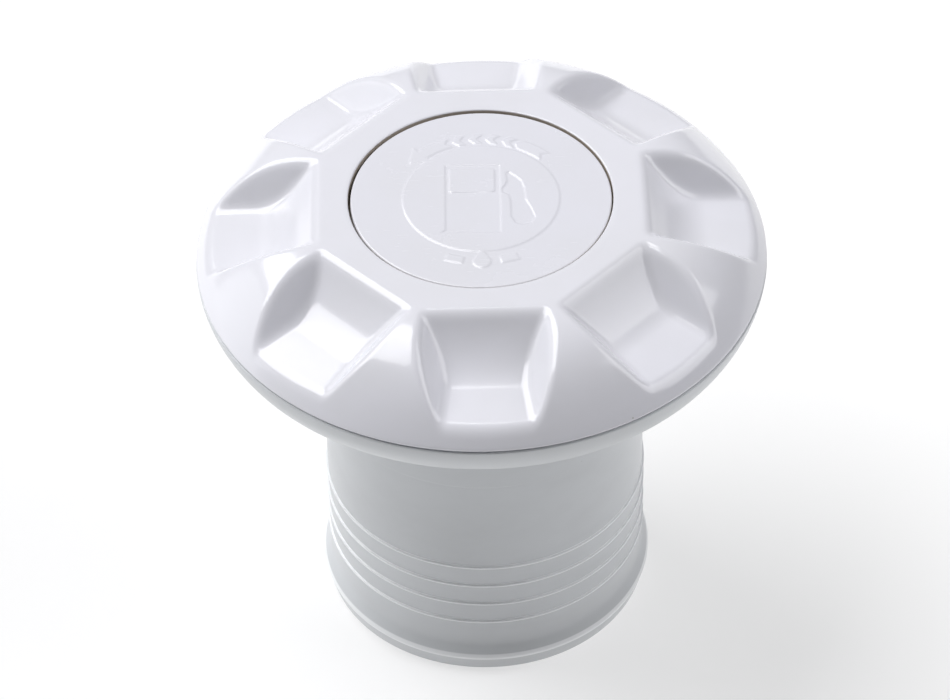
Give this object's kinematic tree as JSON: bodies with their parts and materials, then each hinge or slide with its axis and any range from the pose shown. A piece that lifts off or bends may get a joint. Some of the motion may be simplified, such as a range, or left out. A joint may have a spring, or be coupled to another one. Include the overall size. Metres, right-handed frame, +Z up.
{
  "type": "deck fill cap",
  "caption": "White plastic deck fill: a flanged neck with a barbed hose tail, closed by a domed screw cap with finger recesses and a label disc.",
  "frame": {"origin": "on the axis, at the bottom of the hose tail", "axes": "+Z up the axis from the hose tail to the cap; the pump mark on the disc is upright seen from -Y"},
  "size_m": [0.087, 0.087, 0.0776],
  "materials": {
    "neck_plastic": "satin moulded white plastic",
    "cap_plastic": "glossy white plastic",
    "disc_plastic": "glossy white plastic with low marks",
    "plug_plastic": "satin moulded white plastic",
    "seal_rubber": "matt black",
    "stainless": "polished stainless steel",
    "washer_nylon": "natural nylon"
  },
  "bodies": {
    "neck": {"filler_neck": "neck_plastic"},
    "seal": {"seal_ring": "seal_rubber"},
    "cap": {"cap_shell": "cap_plastic", "label_disc": "disc_plastic", "threaded_plug": "plug_plastic", "cap_screws": "stainless", "swivel_washer": "washer_nylon", "swivel_screw": "stainless"},
    "swivel": {"lanyard_swivel": "stainless"}
  },
  "joints": [
    {"name": "cap_lift", "type": "slide", "parent": "neck", "child": "seal", "axis": [0, 0, 1], "range_m": [0, 0.0202]},
    {"name": "cap_turn", "type": "hinge", "parent": "seal", "child": "cap", "pos_m": [0, 0, 0.0637], "axis": [0, 0, 1], "range_deg": [0, 1440]},
    {"name": "swivel_turn", "type": "hinge", "parent": "cap", "child": "swivel", "pos_m": [0, 0, 0.0563], "axis": [0, 0, 1], "continuous": true}
  ],
  "couplings": [
    {"joint": "cap_lift", "follows": "cap_turn", "m_per_rad": 0.00079577}
  ]
}
